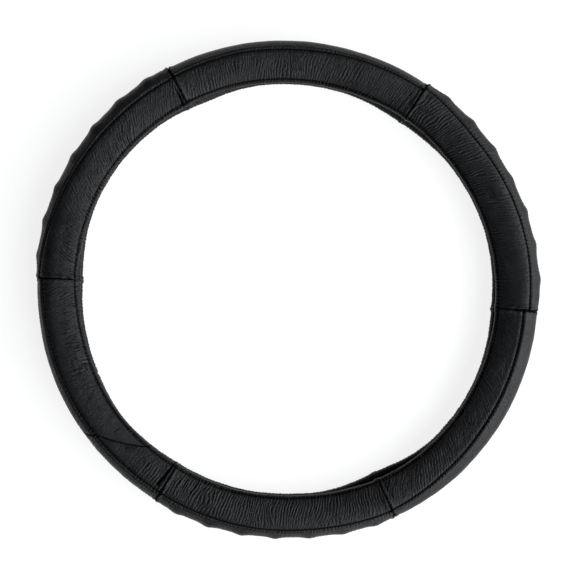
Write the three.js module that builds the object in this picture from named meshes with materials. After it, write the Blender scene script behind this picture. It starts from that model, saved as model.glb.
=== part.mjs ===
import * as THREE from 'three';

// A steering wheel cover: a springy rubber ring of C section, open towards the centre, dressed in
// sewn black leather. Millimetres, +Z up. The cover lies flat on its back, its front face looks up,
// and the origin is the ring's centre in the middle of the tube. Angles are degrees from +X, the
// right of the front face, towards +Y, its top.

// Ring
const ringRadius = 174.13;
const ovalAmount = 1.55;
const ovalAngle = 150;

// The ring's uneven stretches: their middle and reach in degrees, and how far outwards the whole
// tube and, on top of that, its front and its back lip are pushed there. The back lip stands in at
// the joints, and the front lip reaches a little further in than the back one elsewhere.
const unevenStretches = [
  { angle: 183, reach: 18, tube: -1.3, front: 0, back: 0 },
  { angle: 271, reach: 12, tube: -1.3, front: 0.4, back: 0.4 },
  { angle: 308, reach: 18, tube: 0.8, front: 0.4, back: 0 },
  { angle: 148, reach: 14, tube: -0.7, front: 0.8, back: 1.0 },
  { angle: -5, reach: 12, tube: 0, front: -0.1, back: -1.9 },
  { angle: 56, reach: 13, tube: 0.2, front: 0.8, back: -2.0 },
  { angle: 113, reach: 10, tube: 0, front: 0, back: -2.2 },
  { angle: 176, reach: 9, tube: 0, front: 0.9, back: -1.5 },
  { angle: 219, reach: 12, tube: 0, front: 1.2, back: 1.9 },
  { angle: 296, reach: 11, tube: 0, front: 0.2, back: -4.0 },
];
const frontLipReach = 1.2;
const lipLength = 16;

// Core section: a superellipse that gets lower towards the slot inside, its back pressed flat where
// the cover lies. coreTaper is how much higher it is outside and lower inside than in its middle.
const coreHalfWidth = 16.67;
const coreHalfHeight = 12.8;
const coreRoundness = 2.5;
const coreTaper = 0.3;
const coreWall = 3.0;
const backPress = 0.5;
const slotHeight = 8.5;

// Leather
const leatherThickness = 1.2;
const leatherGap = 0.45;
const hemTurn = 8;
const skivedEdge = 0.7;
const skivedLength = 1.2;
const foldedEdgeRise = 0.8;
const foldedEdgeLength = 9;

// Seams, and the threads that lie in them and along the hems
const seamGap = 1.5;
const jointGap = 1.5;
const spliceGap = 1.2;
const hemLineSetback = 0.4;
const threadRadius = 0.3;
const threadClearance = 0.3;
const threadEndClearance = 2;

// Finger grips: foam pads under the outer leather, thick at the peaks
const gripCount = 7;
const gripValleyRise = 0.9;
const gripPeakRise = 2.1;
const gripShoulder = 0.23;
const gripSeamMargin = 2.5;
const gripBackEdge = -17;
const gripFade = 6;
const padClearance = 0.3;

// The lower left leather is pieced together along a slanting seam. It crosses the outer seam at
// spliceAngle and leans by so many degrees for each millimetre of leather: more between the outer
// seam and the front hem line than round the back and past the hem line.
const spliceAngle = 217.3;
const spliceFrontSlant = 0.53;
const spliceBackSlant = 0.24;

// Mesh fineness
const smoothSteps = 7;
const splicedRowPitch = 5.4;
const threadSides = 3;
const coreSteps = 10;
const lipSteps = 3;
const frontSteps = 6;
const backSteps = 8;
const channelSteps = 2;

// The six sewn segments, anticlockwise from the right. Each starts at its joint and ends at the
// next one. seam is how far in front of the outer equator, along the leather, the outer seam runs
// at evenly spaced angles from start to end. grips are the angles of its first and last grip.
const segments = [
  { name: 'upper_right', joint: -5, seam: [16.5, 15.0, 15.3, 16.1, 13.1], grips: [2.5, 50] },
  { name: 'top', joint: 55.5, seam: [15.3, 16.0, 16.9, 16.7, 17.8] },
  { name: 'upper_left', joint: 118.2, seam: [18.1, 18.1, 16.9, 15.1, 11.1], grips: [124, 172] },
  { name: 'lower_left', joint: 177.3, seam: [14.5, 15.4, 16.1, 16.9, 17.0], spliced: true },
  { name: 'bottom', joint: 238, seam: [16.5, 16.5, 15.2, 15.9, 15.4], grips: [243.5, 291] },
  { name: 'lower_right', joint: 295.5, seam: [15.7, 18.8, 20.0, 20.3, 20.5] },
];

const fullTurn = 360;
const outlineSamples = 1440;
const degreesPerMm = THREE.MathUtils.radToDeg(1 / ringRadius);

const lipRadius = coreWall / 2;
const lipArc = Math.PI * lipRadius;
const leatherTop = leatherGap + leatherThickness;
const outline = sampleOutline();
const backFlatDepth = Math.max(...outline.map((sample) => sample.point.y)) - backPress;
const lipStart = findLipStart();
const hemLine = lipStart - hemLineSetback;
const seamThreadLift = threadClearance + threadRadius;
const lipEnd = lipStart + lipArc;
const wrapEnd = lipEnd + lipStart;
const [flatNear, flatFar] = flatEdges();

const leather = { color: 0x26292c, roughness: 0.5, metalness: 0 };
const rubber = { color: 0x151517, roughness: 0.85, metalness: 0 };
const foam = { color: 0x3b3a38, roughness: 0.95, metalness: 0 };
const thread = { color: 0x0d0d0f, roughness: 0.7, metalness: 0 };

// Evenly spaced numbers from one to the other, both included
function spread(from, to, steps) {
  return Array.from({ length: steps + 1 }, (_, k) => from + (to - from) * k / steps);
}

function smoothFade(distance, length) {
  return THREE.MathUtils.smoothstep(distance, 0, length);
}

// The core's outside in the section plane: x outwards from the tube's middle, y to the front
function outlinePoint(turn) {
  const power = 2 / coreRoundness;
  const across = Math.sign(Math.cos(turn)) * Math.abs(Math.cos(turn)) ** power;
  const up = Math.abs(Math.sin(turn)) ** power;
  return new THREE.Vector2(coreHalfWidth * across, coreHalfHeight * (1 + coreTaper * across) * up);
}

function outlineNormal(point) {
  const power = coreRoundness - 1;
  const across = point.x / coreHalfWidth;
  const widening = 1 + coreTaper * across;
  const up = Math.abs(point.y) / (coreHalfHeight * widening);
  const lean = coreTaper / widening * up ** coreRoundness;
  return new THREE.Vector2(
    (Math.sign(across) * Math.abs(across) ** power - lean) / coreHalfWidth,
    up ** power / (coreHalfHeight * widening),
  ).normalize();
}

// Points of the front half of the outline, with their distance from the outer equator
function sampleOutline() {
  const samples = [];
  let distance = 0;
  for (let k = 0; k <= outlineSamples; k++) {
    const turn = Math.PI * k / outlineSamples;
    const point = outlinePoint(turn);
    if (k > 0) distance += point.distanceTo(samples[k - 1].point);
    samples.push({ turn, point, distance });
  }
  return samples;
}

// The outline at a distance from the outer equator, towards the front
function outlineAt(distance) {
  const next = Math.max(1, outline.findIndex((sample) => sample.distance >= distance));
  const after = outline[next];
  const before = outline[next - 1];
  const share = (distance - before.distance) / (after.distance - before.distance);
  const point = outlinePoint(THREE.MathUtils.lerp(before.turn, after.turn, share));
  return { point, normal: outlineNormal(point) };
}

// Where the wall starts to turn round at the slot, so that the leather there leaves slotHeight
function findLipStart() {
  const lipCentre = slotHeight / 2 + leatherTop + lipRadius;
  const found = outline.find((sample) => {
    const height = sample.point.y - lipRadius * outlineNormal(sample.point).y;
    return sample.turn > Math.PI / 2 && height <= lipCentre;
  });
  return found.distance;
}

// The outer and the inner edge of the strip on which the leather's back is pressed flat
function flatEdges() {
  const pressed = outline.filter(({ point }) => {
    return point.y + leatherTop * outlineNormal(point).y >= backFlatDepth + leatherTop;
  });
  return [pressed[0].distance, pressed.at(-1).distance];
}

// A point of the wrapped leather's path in the section plane. wrap is the distance along the core's
// surface from the outer equator, to the front where it is positive: over the outside, round the
// lip and back along the channel. lift is the height above the core's surface.
function sectionPoint(wrap, lift) {
  const along = Math.abs(wrap);
  const point = new THREE.Vector2();
  let offset = lift;
  if (along > lipStart && along < lipEnd) {
    const lip = outlineAt(lipStart);
    const turn = (along - lipStart) / lipRadius;
    const tangent = new THREE.Vector2(-lip.normal.y, lip.normal.x);
    point.copy(lip.point).addScaledVector(lip.normal, -lipRadius);
    point.addScaledVector(lip.normal, Math.cos(turn) * (lipRadius + lift));
    point.addScaledVector(tangent, Math.sin(turn) * (lipRadius + lift));
  } else {
    const inside = along >= lipEnd;
    const wall = outlineAt(inside ? wrapEnd - along : along);
    offset = inside ? -coreWall - lift : lift;
    point.copy(wall.point).addScaledVector(wall.normal, offset);
  }
  if (wrap < 0) {
    point.y = Math.max(-point.y, -backFlatDepth - Math.min(offset, leatherTop));
  }
  return point;
}

// How far the ring's shape pushes a point of the path outwards, compared with a true circle
function pushOutwards(angle, wrap) {
  const place = Math.min(Math.abs(wrap), wrapEnd - Math.abs(wrap));
  const lipShare = THREE.MathUtils.smoothstep(place, lipStart - lipLength, lipStart);
  const oval = ovalAmount * Math.cos(2 * THREE.MathUtils.degToRad(angle - ovalAngle));
  return unevenStretches.reduce((push, stretch) => {
    const turned = angle - stretch.angle + fullTurn / 2;
    const away = THREE.MathUtils.euclideanModulo(turned, fullTurn) - fullTurn / 2;
    const share = Math.exp(-((away / stretch.reach) ** 2));
    return push + share * (stretch.tube + lipShare * (wrap > 0 ? stretch.front : stretch.back));
  }, oval - (wrap > 0 ? frontLipReach * lipShare : 0));
}

function ringPoint(angle, wrap, lift) {
  const section = sectionPoint(wrap, lift);
  const turn = THREE.MathUtils.degToRad(angle);
  const radius = ringRadius + pushOutwards(angle, wrap) + section.x;
  return new THREE.Vector3(radius * Math.cos(turn), radius * Math.sin(turn), section.y);
}

// Segments, their ends and the angles at which their meshes have a row of points
function endJoint(segment) {
  const next = segments[segments.indexOf(segment) + 1];
  return next ? next.joint : segments[0].joint + fullTurn;
}

function seamAt(segment, angle) {
  const share = (angle - segment.joint) / (endJoint(segment) - segment.joint);
  const last = segment.seam.length - 1;
  const place = THREE.MathUtils.clamp(share * last, 0, last);
  const before = Math.min(Math.floor(place), last - 1);
  return THREE.MathUtils.lerp(segment.seam[before], segment.seam[before + 1], place - before);
}

function gripPitch(segment) {
  return (segment.grips[1] - segment.grips[0]) / (gripCount - 1);
}

// The grips' valleys and the two shoulders of each peak
function gripAngles(segment) {
  const pitch = gripPitch(segment);
  const angles = [segment.grips[0] - pitch / 2];
  for (let k = 0; k < gripCount; k++) {
    const peak = segment.grips[0] + k * pitch;
    angles.push(peak - gripShoulder * pitch, peak + gripShoulder * pitch, peak + pitch / 2);
  }
  return angles;
}

// Rows between a segment's two joints, without the joints themselves
function innerAngles(segment, fine) {
  if (segment.grips) {
    const angles = gripAngles(segment);
    return angles.filter((_, k) => fine || k % 2 === 0 || k === angles.length - 1);
  }
  const margin = foldedEdgeLength * degreesPerMm;
  const length = endJoint(segment) - segment.joint - 2 * margin;
  const steps = segment.spliced ? Math.ceil(length / splicedRowPitch) : smoothSteps;
  return spread(segment.joint + margin, endJoint(segment) - margin, steps);
}

function withEnds(segment, setback, fine) {
  const margin = setback * degreesPerMm;
  return [segment.joint + margin, ...innerAngles(segment, fine), endJoint(segment) - margin];
}

function gripRise(segment, angle) {
  const pitch = gripPitch(segment);
  const firstValley = segment.grips[0] - pitch / 2;
  const place = (angle - firstValley) / pitch;
  if (place < 0 || place > gripCount) return 0;
  const fromValley = Math.abs(place - Math.round(place));
  return THREE.MathUtils.mapLinear(
    Math.min(fromValley, 0.5 - gripShoulder), 0, 0.5 - gripShoulder, gripValleyRise, gripPeakRise);
}

// How far the pad under it lifts the outer leather
function padRise(segment, angle, wrap) {
  if (!segment.grips) return 0;
  const frontEdge = seamAt(segment, angle) - gripSeamMargin;
  const shape = smoothFade(frontEdge - wrap, gripFade) * smoothFade(wrap - gripBackEdge, gripFade);
  return gripRise(segment, angle) * shape;
}

// The folded edges at the joints stand up, also where the hem lines cross them
function foldRise(segment, angle) {
  const near = Math.min(Math.abs(angle - segment.joint), Math.abs(endJoint(segment) - angle));
  return foldedEdgeRise * Math.max(0, 1 - near / degreesPerMm / foldedEdgeLength);
}

function spliceAt(wrap) {
  const seam = seamAt(segments.find((segment) => segment.spliced), spliceAngle);
  const onFront = THREE.MathUtils.clamp(wrap, seam, hemLine) - seam;
  return spliceAngle + spliceFrontSlant * onFront + spliceBackSlant * (wrap - seam - onFront);
}

// Meshes are rows of points joined by faces. Rows run in the direction of growing wrap, one after
// another in the direction of growing angle, so that their faces look outwards.
function joinRows(faces, rowA, rowB, closed) {
  const count = closed ? rowA.length : rowA.length - 1;
  for (let k = 0; k < count; k++) {
    const next = (k + 1) % rowA.length;
    faces.push(rowA[k], rowB[k], rowB[next]);
    faces.push(rowA[k], rowB[next], rowA[next]);
  }
}

function meshOf(name, look, points, faces) {
  const geometry = new THREE.BufferGeometry();
  const numbers = points.flatMap((point) => point.toArray());
  geometry.setAttribute('position', new THREE.Float32BufferAttribute(numbers, 3));
  geometry.setIndex(faces);
  geometry.computeVertexNormals();
  const mesh = new THREE.Mesh(geometry, new THREE.MeshStandardMaterial(look));
  mesh.name = name;
  return mesh;
}

// A closed piece of sheet. outerRows and innerRows hold its two faces' points, row by row.
function sheetMesh(name, look, outerRows, innerRows) {
  const points = [];
  const number = (row) => row.map((point) => points.push(point) - 1);
  const outer = outerRows.map(number);
  const inner = innerRows.map(number);
  const loops = outer.map((row, k) => [...row, ...inner[k].toReversed()]);
  const faces = [];
  for (let k = 1; k < loops.length; k++) joinRows(faces, loops[k - 1], loops[k], true);
  joinRows(faces, inner[0], outer[0], false);
  joinRows(faces, outer.at(-1), inner.at(-1), false);
  return meshOf(name, look, points, faces);
}

// A thread with an axis through its centres. Each station has the centre and two directions across
// the thread, the second a quarter turn from the first when seen against the thread's direction.
function threadMesh(name, stations, closed) {
  const points = [];
  const rings = stations.map(({ centre, across, up }) => spread(0, threadSides - 1, threadSides - 1)
    .map((side) => {
      const turn = 2 * Math.PI * side / threadSides;
      const point = centre.clone().addScaledVector(across, threadRadius * Math.cos(turn));
      return points.push(point.addScaledVector(up, threadRadius * Math.sin(turn))) - 1;
    }));
  const faces = [];
  for (let k = 1; k < rings.length; k++) joinRows(faces, rings[k], rings[k - 1], true);
  if (closed) {
    joinRows(faces, rings[0], rings.at(-1), true);
  } else {
    const first = rings[0];
    const last = rings.at(-1);
    for (let side = 2; side < threadSides; side++) {
      faces.push(first[0], first[side], first[side - 1]);
      faces.push(last[0], last[side - 1], last[side]);
    }
  }
  return meshOf(name, thread, points, faces);
}

// A station of a thread that runs round the ring
function roundStation(angle, wrap, lift) {
  const turn = THREE.MathUtils.degToRad(angle);
  const outwards = new THREE.Vector3(Math.cos(turn), Math.sin(turn), 0);
  const up = new THREE.Vector3(0, 0, 1);
  return { centre: ringPoint(angle, wrap, lift), across: up, up: outwards };
}

// A station of a thread that runs round the tube, from the back to the front
function tubeStation(angle, wrap, lift) {
  const centre = ringPoint(angle, wrap, lift);
  const away = ringPoint(angle, wrap, lift + 1).sub(centre).normalize();
  const turn = THREE.MathUtils.degToRad(angle);
  const along = new THREE.Vector3(-Math.sin(turn), Math.cos(turn), 0);
  return { centre, across: away, up: along };
}

// Wrap stations
const outerWraps = [...spread(-lipStart, -flatFar, 2), ...spread(-flatNear, lipStart, coreSteps)];

function coreWraps() {
  const lip = spread(lipStart, lipEnd, lipSteps).slice(1, -1);
  const inside = spread(lipEnd + hemTurn, wrapEnd, channelSteps).slice(0, -1);
  const front = [...lip, lipEnd, ...inside];
  return [...front.map((wrap) => -wrap).reverse(), ...outerWraps, ...front];
}

function frontWraps(seam) {
  const edge = seam + seamGap / 2;
  return [
    edge, ...spread(edge + skivedLength, lipStart, frontSteps),
    ...spread(lipStart, lipEnd, lipSteps).slice(1), lipEnd + hemTurn,
  ];
}

// From the pressed strip over the outside to the skived edge at the outer seam
function outsideWraps(seam) {
  return spread(-flatNear, seam - seamGap / 2 - skivedLength, backSteps);
}

function backWraps(seam) {
  const hem = [
    ...spread(flatFar, lipStart, 2), ...spread(lipStart, lipEnd, lipSteps).slice(1), lipEnd + hemTurn,
  ];
  return [...hem.map((wrap) => -wrap).reverse(), ...outsideWraps(seam), seam - seamGap / 2];
}

// Pieces

function rubberCore() {
  const wraps = coreWraps();
  const angles = segments.flatMap((segment) => [segment.joint, ...innerAngles(segment, false)]);
  const points = [];
  const loops = angles.map((angle) => wraps.map((wrap) => points.push(ringPoint(angle, wrap, 0)) - 1));
  const faces = [];
  loops.forEach((loop, k) => joinRows(faces, loop, loops[(k + 1) % loops.length], true));
  return meshOf('rubber_core', rubber, points, faces);
}

// A leather panel between two ends, each an angle that may depend on wrap. shares places its rows
// between them, wrapsAt gives its points across, and seamFirst says which side is its seam edge.
function leatherPanel(name, segment, { start, end, shares, wrapsAt, seamFirst }) {
  const rows = shares.map((share) => {
    const middle = THREE.MathUtils.lerp(start(0), end(0), share);
    const wraps = wrapsAt(seamAt(segment, middle));
    const edge = seamFirst ? 0 : wraps.length - 1;
    return wraps.map((wrap, k) => {
      const angle = THREE.MathUtils.lerp(start(wrap), end(wrap), share);
      const base = leatherGap + padRise(segment, angle, wrap);
      const rise = foldRise(segment, angle);
      const thickness = k === edge ? skivedEdge : leatherThickness + rise;
      return { outer: ringPoint(angle, wrap, base + thickness), inner: ringPoint(angle, wrap, base) };
    });
  });
  const outerRows = rows.map((row) => row.map((pair) => pair.outer));
  const innerRows = rows.map((row) => row.map((pair) => pair.inner));
  return sheetMesh(name, leather, outerRows, innerRows);
}

function sharesOf(angles) {
  const [first, last] = [angles[0], angles.at(-1)];
  return angles.map((angle) => (angle - first) / (last - first));
}

function panelPair(segment, suffix, start, end, frontShares, backShares) {
  return [
    leatherPanel(`front_panel_${segment.name}${suffix}`, segment,
      { start, end, shares: frontShares, wrapsAt: frontWraps, seamFirst: true }),
    leatherPanel(`back_panel_${segment.name}${suffix}`, segment,
      { start, end, shares: backShares, wrapsAt: backWraps, seamFirst: false }),
  ];
}

function plainPanels(segment) {
  const coarse = withEnds(segment, jointGap / 2, false);
  const fine = withEnds(segment, jointGap / 2, true);
  const start = () => coarse[0];
  const end = () => coarse.at(-1);
  return panelPair(segment, '', start, end, sharesOf(coarse), sharesOf(fine));
}

// Rows for a panel that ends at the splice, as close together where it is longest as the core's
function splicedShares(start, end, jointFirst) {
  const hem = lipEnd + hemTurn;
  const spans = [-hem, 0, hem].map((wrap) => end(wrap) - start(wrap));
  const fold = foldedEdgeLength * degreesPerMm / spans[1];
  const steps = Math.ceil(Math.max(...spans) / splicedRowPitch);
  const shares = [0, ...spread(fold, 1, steps)];
  return jointFirst ? shares : shares.map((share) => 1 - share).reverse();
}

function splicedPanels(segment) {
  const joints = withEnds(segment, jointGap / 2, false);
  const margin = spliceGap / 2 * degreesPerMm;
  const start = () => joints[0];
  const end = () => joints.at(-1);
  const before = (wrap) => spliceAt(wrap) - margin;
  const after = (wrap) => spliceAt(wrap) + margin;
  const mainShares = splicedShares(start, before, true);
  const patchShares = splicedShares(after, end, false);
  return [
    ...panelPair(segment, '', start, before, mainShares, mainShares),
    ...panelPair(segment, '_patch', after, end, patchShares, patchShares),
  ];
}

function gripPad(segment) {
  const angles = gripAngles(segment);
  const rows = angles.map((angle) => {
    const wraps = outsideWraps(seamAt(segment, angle)).slice(1, -1);
    const top = wraps.map((wrap) => leatherGap + padRise(segment, angle, wrap) - padClearance);
    return {
      outer: wraps.map((wrap, k) => ringPoint(angle, wrap, top[k])),
      inner: wraps.map((wrap) => ringPoint(angle, wrap, leatherGap)),
    };
  });
  const outerRows = rows.map((row) => row.outer);
  const innerRows = rows.map((row) => row.inner);
  return sheetMesh(`grip_pad_${segment.name}`, foam, outerRows, innerRows);
}

function hemThread(side) {
  const name = side > 0 ? 'front_hem_thread' : 'back_hem_thread';
  const stations = segments.flatMap((segment) => withEnds(segment, jointGap / 2, false)
    .map((angle) => {
      const lift = leatherTop + foldRise(segment, angle) + threadClearance + threadRadius;
      return roundStation(angle, side * hemLine, lift);
    }));
  return threadMesh(name, stations, true);
}

function seamThread(segment) {
  const stations = withEnds(segment, threadEndClearance, false)
    .map((angle) => roundStation(angle, seamAt(segment, angle), seamThreadLift));
  return threadMesh(`seam_thread_${segment.name}`, stations, false);
}

// Wraps of a thread that crosses the leather from one distance to another
function crossingWraps(from, to) {
  const inner = outerWraps.filter((wrap) => wrap > from + threadRadius && wrap < to - threadRadius);
  return [from, ...inner, to];
}

function jointThread(segment) {
  const reach = hemLine - threadEndClearance;
  const stations = crossingWraps(-reach, reach)
    .map((wrap) => tubeStation(segment.joint, wrap, seamThreadLift));
  return threadMesh(`joint_thread_${segment.name}`, stations, false);
}

// The splice's thread stops short of the outer seam and goes on behind it
function spliceThreads(segment) {
  const seam = seamAt(segment, spliceAngle);
  const reach = hemLine - threadEndClearance;
  const stretch = (name, from, to) => threadMesh(name, crossingWraps(from, to)
    .map((wrap) => tubeStation(spliceAt(wrap), wrap, seamThreadLift)), false);
  return [
    stretch('splice_thread_front', seam + threadEndClearance, reach),
    stretch('splice_thread_back', -reach, seam - threadEndClearance),
  ];
}

const cover = new THREE.Group();
cover.add(rubberCore());
for (const segment of segments) {
  cover.add(...(segment.spliced ? splicedPanels(segment) : plainPanels(segment)));
  if (segment.grips) cover.add(gripPad(segment));
  if (segment.spliced) cover.add(...spliceThreads(segment));
  cover.add(seamThread(segment), jointThread(segment));
}
cover.add(hemThread(1), hemThread(-1));

export default cover;
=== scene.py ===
import math

import bpy
import numpy as np
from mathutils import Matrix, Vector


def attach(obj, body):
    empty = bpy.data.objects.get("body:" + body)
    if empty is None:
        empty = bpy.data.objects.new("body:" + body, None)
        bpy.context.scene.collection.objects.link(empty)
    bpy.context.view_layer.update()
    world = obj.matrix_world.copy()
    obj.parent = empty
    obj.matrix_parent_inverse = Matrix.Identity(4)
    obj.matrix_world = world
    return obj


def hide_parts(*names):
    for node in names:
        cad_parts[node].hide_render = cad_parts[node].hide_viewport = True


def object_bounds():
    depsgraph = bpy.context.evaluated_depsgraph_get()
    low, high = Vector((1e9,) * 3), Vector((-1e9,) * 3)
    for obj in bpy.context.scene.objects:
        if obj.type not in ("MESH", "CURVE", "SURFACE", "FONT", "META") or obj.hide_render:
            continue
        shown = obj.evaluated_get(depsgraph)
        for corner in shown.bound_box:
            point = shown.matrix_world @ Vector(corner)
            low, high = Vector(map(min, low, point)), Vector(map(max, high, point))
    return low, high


# A steering wheel cover of sewn black leather over a rubber ring. It repeats the CAD's sizes in the
# CAD's own frame. Sizes are in millimetres where nothing else is said, angles in degrees from +X
# towards +Y. Wrap is the distance along the core's surface from the outer equator, positive towards
# the front face, and lift is the height over that surface.
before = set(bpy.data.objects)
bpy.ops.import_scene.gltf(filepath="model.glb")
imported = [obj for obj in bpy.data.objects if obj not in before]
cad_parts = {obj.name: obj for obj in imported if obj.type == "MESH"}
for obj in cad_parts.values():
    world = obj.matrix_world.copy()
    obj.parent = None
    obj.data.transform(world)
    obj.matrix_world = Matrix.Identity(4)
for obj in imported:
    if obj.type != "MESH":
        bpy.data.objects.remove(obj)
cad_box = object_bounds()

MM = 0.001
FULL_TURN = 360

# Ring and core section
RING_RADIUS = 174.13
OVAL_AMOUNT = 1.55
OVAL_ANGLE = 150
# Where the ring is uneven: the middle and the reach in degrees, and how far outwards the tube and,
# on top of that, its front and its back lip are pushed there
UNEVEN_STRETCHES = (
    (183, 18, -1.3, 0, 0),
    (271, 12, -1.3, 0.4, 0.4),
    (308, 18, 0.8, 0.4, 0),
    (148, 14, -0.7, 0.8, 1.0),
    (-5, 12, 0, -0.1, -1.9),
    (56, 13, 0.2, 0.8, -2.0),
    (113, 10, 0, 0, -2.2),
    (176, 9, 0, 0.9, -1.5),
    (219, 12, 0, 1.2, 1.9),
    (296, 11, 0, 0.2, -4.0),
)
FRONT_LIP_REACH = 1.2
LIP_LENGTH = 16
CORE_HALF_WIDTH = 16.67
CORE_HALF_HEIGHT = 12.8
CORE_ROUNDNESS = 2.5
CORE_TAPER = 0.3
CORE_WALL = 3.0
BACK_PRESS = 0.5
SLOT_HEIGHT = 8.5
PRESS_SOFTNESS = 0.25

# Leather, its folded hems and edges
LEATHER_GAP = 0.45
LEATHER_THICKNESS = 1.2
UNDERSIDE_LIFT = 0.12
BURIED_LIFT = UNDERSIDE_LIFT / 2
THINNEST_EDGE = 0.04
HEM_TURN = 8
HEM_LINE_SETBACK = 0.4
HEM_RISE = 0.3
HEM_GROOVE = 0.95
HEM_GROOVE_WIDTH = 0.66
HEM_GROOVE_LEVEL = 0.75
HEM_GROOVE_WAVE = 0.4
HEM_STRIP_START = (0.3, 1.8)
HEM_STRIP_WIDTH = 1
PUCKER_HEIGHT = 0.16
PUCKER_PLACE = 1.6
PUCKER_WIDTH = 2.0
SEAM_GAP = 0.3
SEAM_EDGE_RADIUS = 0.95
SEAM_DEPTH = 0.8
SEAM_BEAD_RISE = 0.5
FRONT_BEAD_RISE = 0.12
SEAM_BEAD_WIDTH = 0.8
SEAM_BEAD_SETBACK = 1.9
SEAM_PUCKER_HEIGHT = 0.07
SEAM_PUCKER_WIDTH = 2.2
JOINT_GAP = 0.04
JOINT_EDGE_RADIUS = 0.75
JOINT_FRONT_WIDENING = 0.4
JOINT_WEDGE = 0.9
JOINT_DEPTH = 0.22
JOINT_FRONT_DEPTH = 0.7
JOINT_WEDGE_LENGTH = 9
# The wraps between which a joint's groove widens and deepens, and how far from the hem's line it ends
JOINT_WIDENING = (2, 9)
JOINT_DEEPENING = (2, 8)
JOINT_HEM_MARGINS = (-3, 1)
SPLICE_GAP = 0.25
SPLICE_EDGE_RADIUS = 1.7
SPLICE_DEPTH = 0.95
FOLD_RISE = 0.5
FOLD_LENGTH = 3.6
FOLD_CREST = 1.5
GATHER_HEIGHT = 0.35
GATHER_REACH = 4.5
GATHER_WIDTH = 3.4
GATHER_LENGTH = 14
GATHER_SEED = 41

# Fine creases. On the front their strength goes from the seam's factor to the hem's, starting and
# ending at the margins from each.
CREASE_PITCH = 2.2
CREASE_HEIGHT = 0.27
CREASE_SHARPNESS = 0.8
CREASE_LEAST = 0.55
CREASE_FADING = (-0.4, 0.4)
BROAD_CREASE_HEIGHT = 0.14
BROAD_CREASE_STEEPNESS = 2.2
BROAD_CREASE_SHARPNESS = 0.7
BROAD_CREASE_SHIFT = 98
BROAD_CREASE_PATCHES = (-0.7, 0.5)
SEAM_STRENGTH = 0.65
HEM_STRENGTH = 1.2
BACK_STRENGTH = 0.5
STRENGTH_MARGINS = (2, -6)
# Painted shade in grooves and creases: how far a point lies below the smooth leather where the
# painted shade starts, and from there to darkest
CREVICE_SHADE_START = 0.08
CREVICE_SHADE_DEPTH = 0.4

# Layers of noise: height, length along the ring, width across it, and seed
NOISE_SIZE = 256
NOISE_GAIN = 1.5
BROAD_WARP = (5.0, 38, 30, 11)
FINE_WARP = (1.6, 13, 12, 12)
BROAD_WANDER = (0.55, 7, 9, 21)
FINE_WANDER = (0.22, 2.6, 3.2, 22)
CREASE_PATCHES = (1, 30, 22, 23)
BROAD_SWELLS = (0.22, 21, 14, 24)
FINE_SWELLS = (0.12, 8, 9, 25)
CREASE_FADES = (1, 6, 6, 26)
BROAD_CREASES = (1, 4.4, 14, 27)
STITCH_UNEVENNESS = (0.6, 9, 40, 31)
STITCH_EVENNESS = 0.7
HEM_FOLDS = (0.2, 2.6, 9, 32)
HEM_FOLD_SLANT = 0.39

# Stitches. The rings are a stitch's sections, placed as shares of its length.
STITCH_PITCH = 2.9
STITCH_LENGTH = 2.2
STITCH_RADIUS = 0.32
STITCH_ARCH = 0.22
STITCH_SIDES = 8
STITCH_RINGS = np.array([0, 0.04, 0.13, 0.28, 0.5, 0.72, 0.87, 0.96, 1])
STITCH_BLUNTNESS = 6
STITCH_TIP = 0.02
HEM_STITCH_SEAT = 0.8
SEAM_STITCH_DEPTH = 0.42
JOINT_STITCH_DEPTH = 0.75
JOINT_STITCH_MARGIN = 1.5
SPLICE_STITCH_MARGIN = 1
SEAM_STITCH_MARGIN_DEGREES = 0.6

# Finger grips
GRIP_COUNT = 7
GRIP_SHARPNESS = 1.5
GRIP_SEAM_MARGIN = 1.0
GRIP_BACK_EDGE = -18
GRIP_FADE = 8
GRIP_LEAN = 0.06
GRIP_UNEVENNESS = (0.8, 1.15)
# Where, in pitches before the first peak and after the last, the pad and its peaks begin
PAD_BEGINNING = (-1.05, -0.4)
PEAK_BEGINNING = (-0.75, -0.45)
FOAM_CLEARANCE = 0.25
FOAM_SIDE_RADIUS = 1.5
FOAM_END_RADIUS = 2.0
FOAM_STEPS = (260, 24)

# The slanting splice: its segment, its place at the outer seam, and its lean on the front and round
# the back in degrees per millimetre of wrap
SPLICED = "lower_left"
SPLICE_ANGLE = 217.3
SPLICE_FRONT_SLANT = 0.53
SPLICE_BACK_SLANT = 0.24

# Mesh fineness
FINE_ALONG = 0.43
FINE_ACROSS = 0.95
EDGE_STEPS = (0, 0.12, 0.3, 0.55, 0.85, 1.2, 1.6)
UNDER_ALONG = 12
UNDER_ACROSS = 6
CORE_STEPS_ALONG = 400
CORE_STEPS_ACROSS = 104

# Each segment's first joint, its outer seam's wrap at evenly spaced angles, and how its leather
# behaves: grips are the angles of its first and last finger grip, rise and peak the grips' height
# over the smooth leather in the valleys and on the peaks, slant is how far the fine creases lean,
# creased is how strong they are.
SEGMENTS = {
    "upper_right": dict(joint=-5, seam=(16.5, 15.0, 15.3, 16.1, 13.1), slant=-0.35, creased=1.1,
                        grips=(2.5, 50), rise=1.5, peak=2.7),
    "top": dict(joint=55.5, seam=(15.3, 16.0, 16.9, 16.7, 17.8), slant=-0.1, creased=0.6),
    "upper_left": dict(joint=118.2, seam=(18.1, 18.1, 16.9, 15.1, 11.1), slant=-0.6, creased=1.15,
                       grips=(124, 172), rise=0.9, peak=2.1),
    "lower_left": dict(joint=177.3, seam=(14.5, 15.4, 16.1, 16.9, 17.0), slant=0.1, creased=1.3),
    "bottom": dict(joint=238, seam=(16.5, 16.5, 15.2, 15.9, 15.4), slant=-0.25, creased=1.05,
                   grips=(243.5, 291), rise=0.4, peak=1.6),
    "lower_right": dict(joint=295.5, seam=(15.7, 18.8, 20.0, 20.3, 20.5), slant=-0.75, creased=1.2),
}

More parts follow.
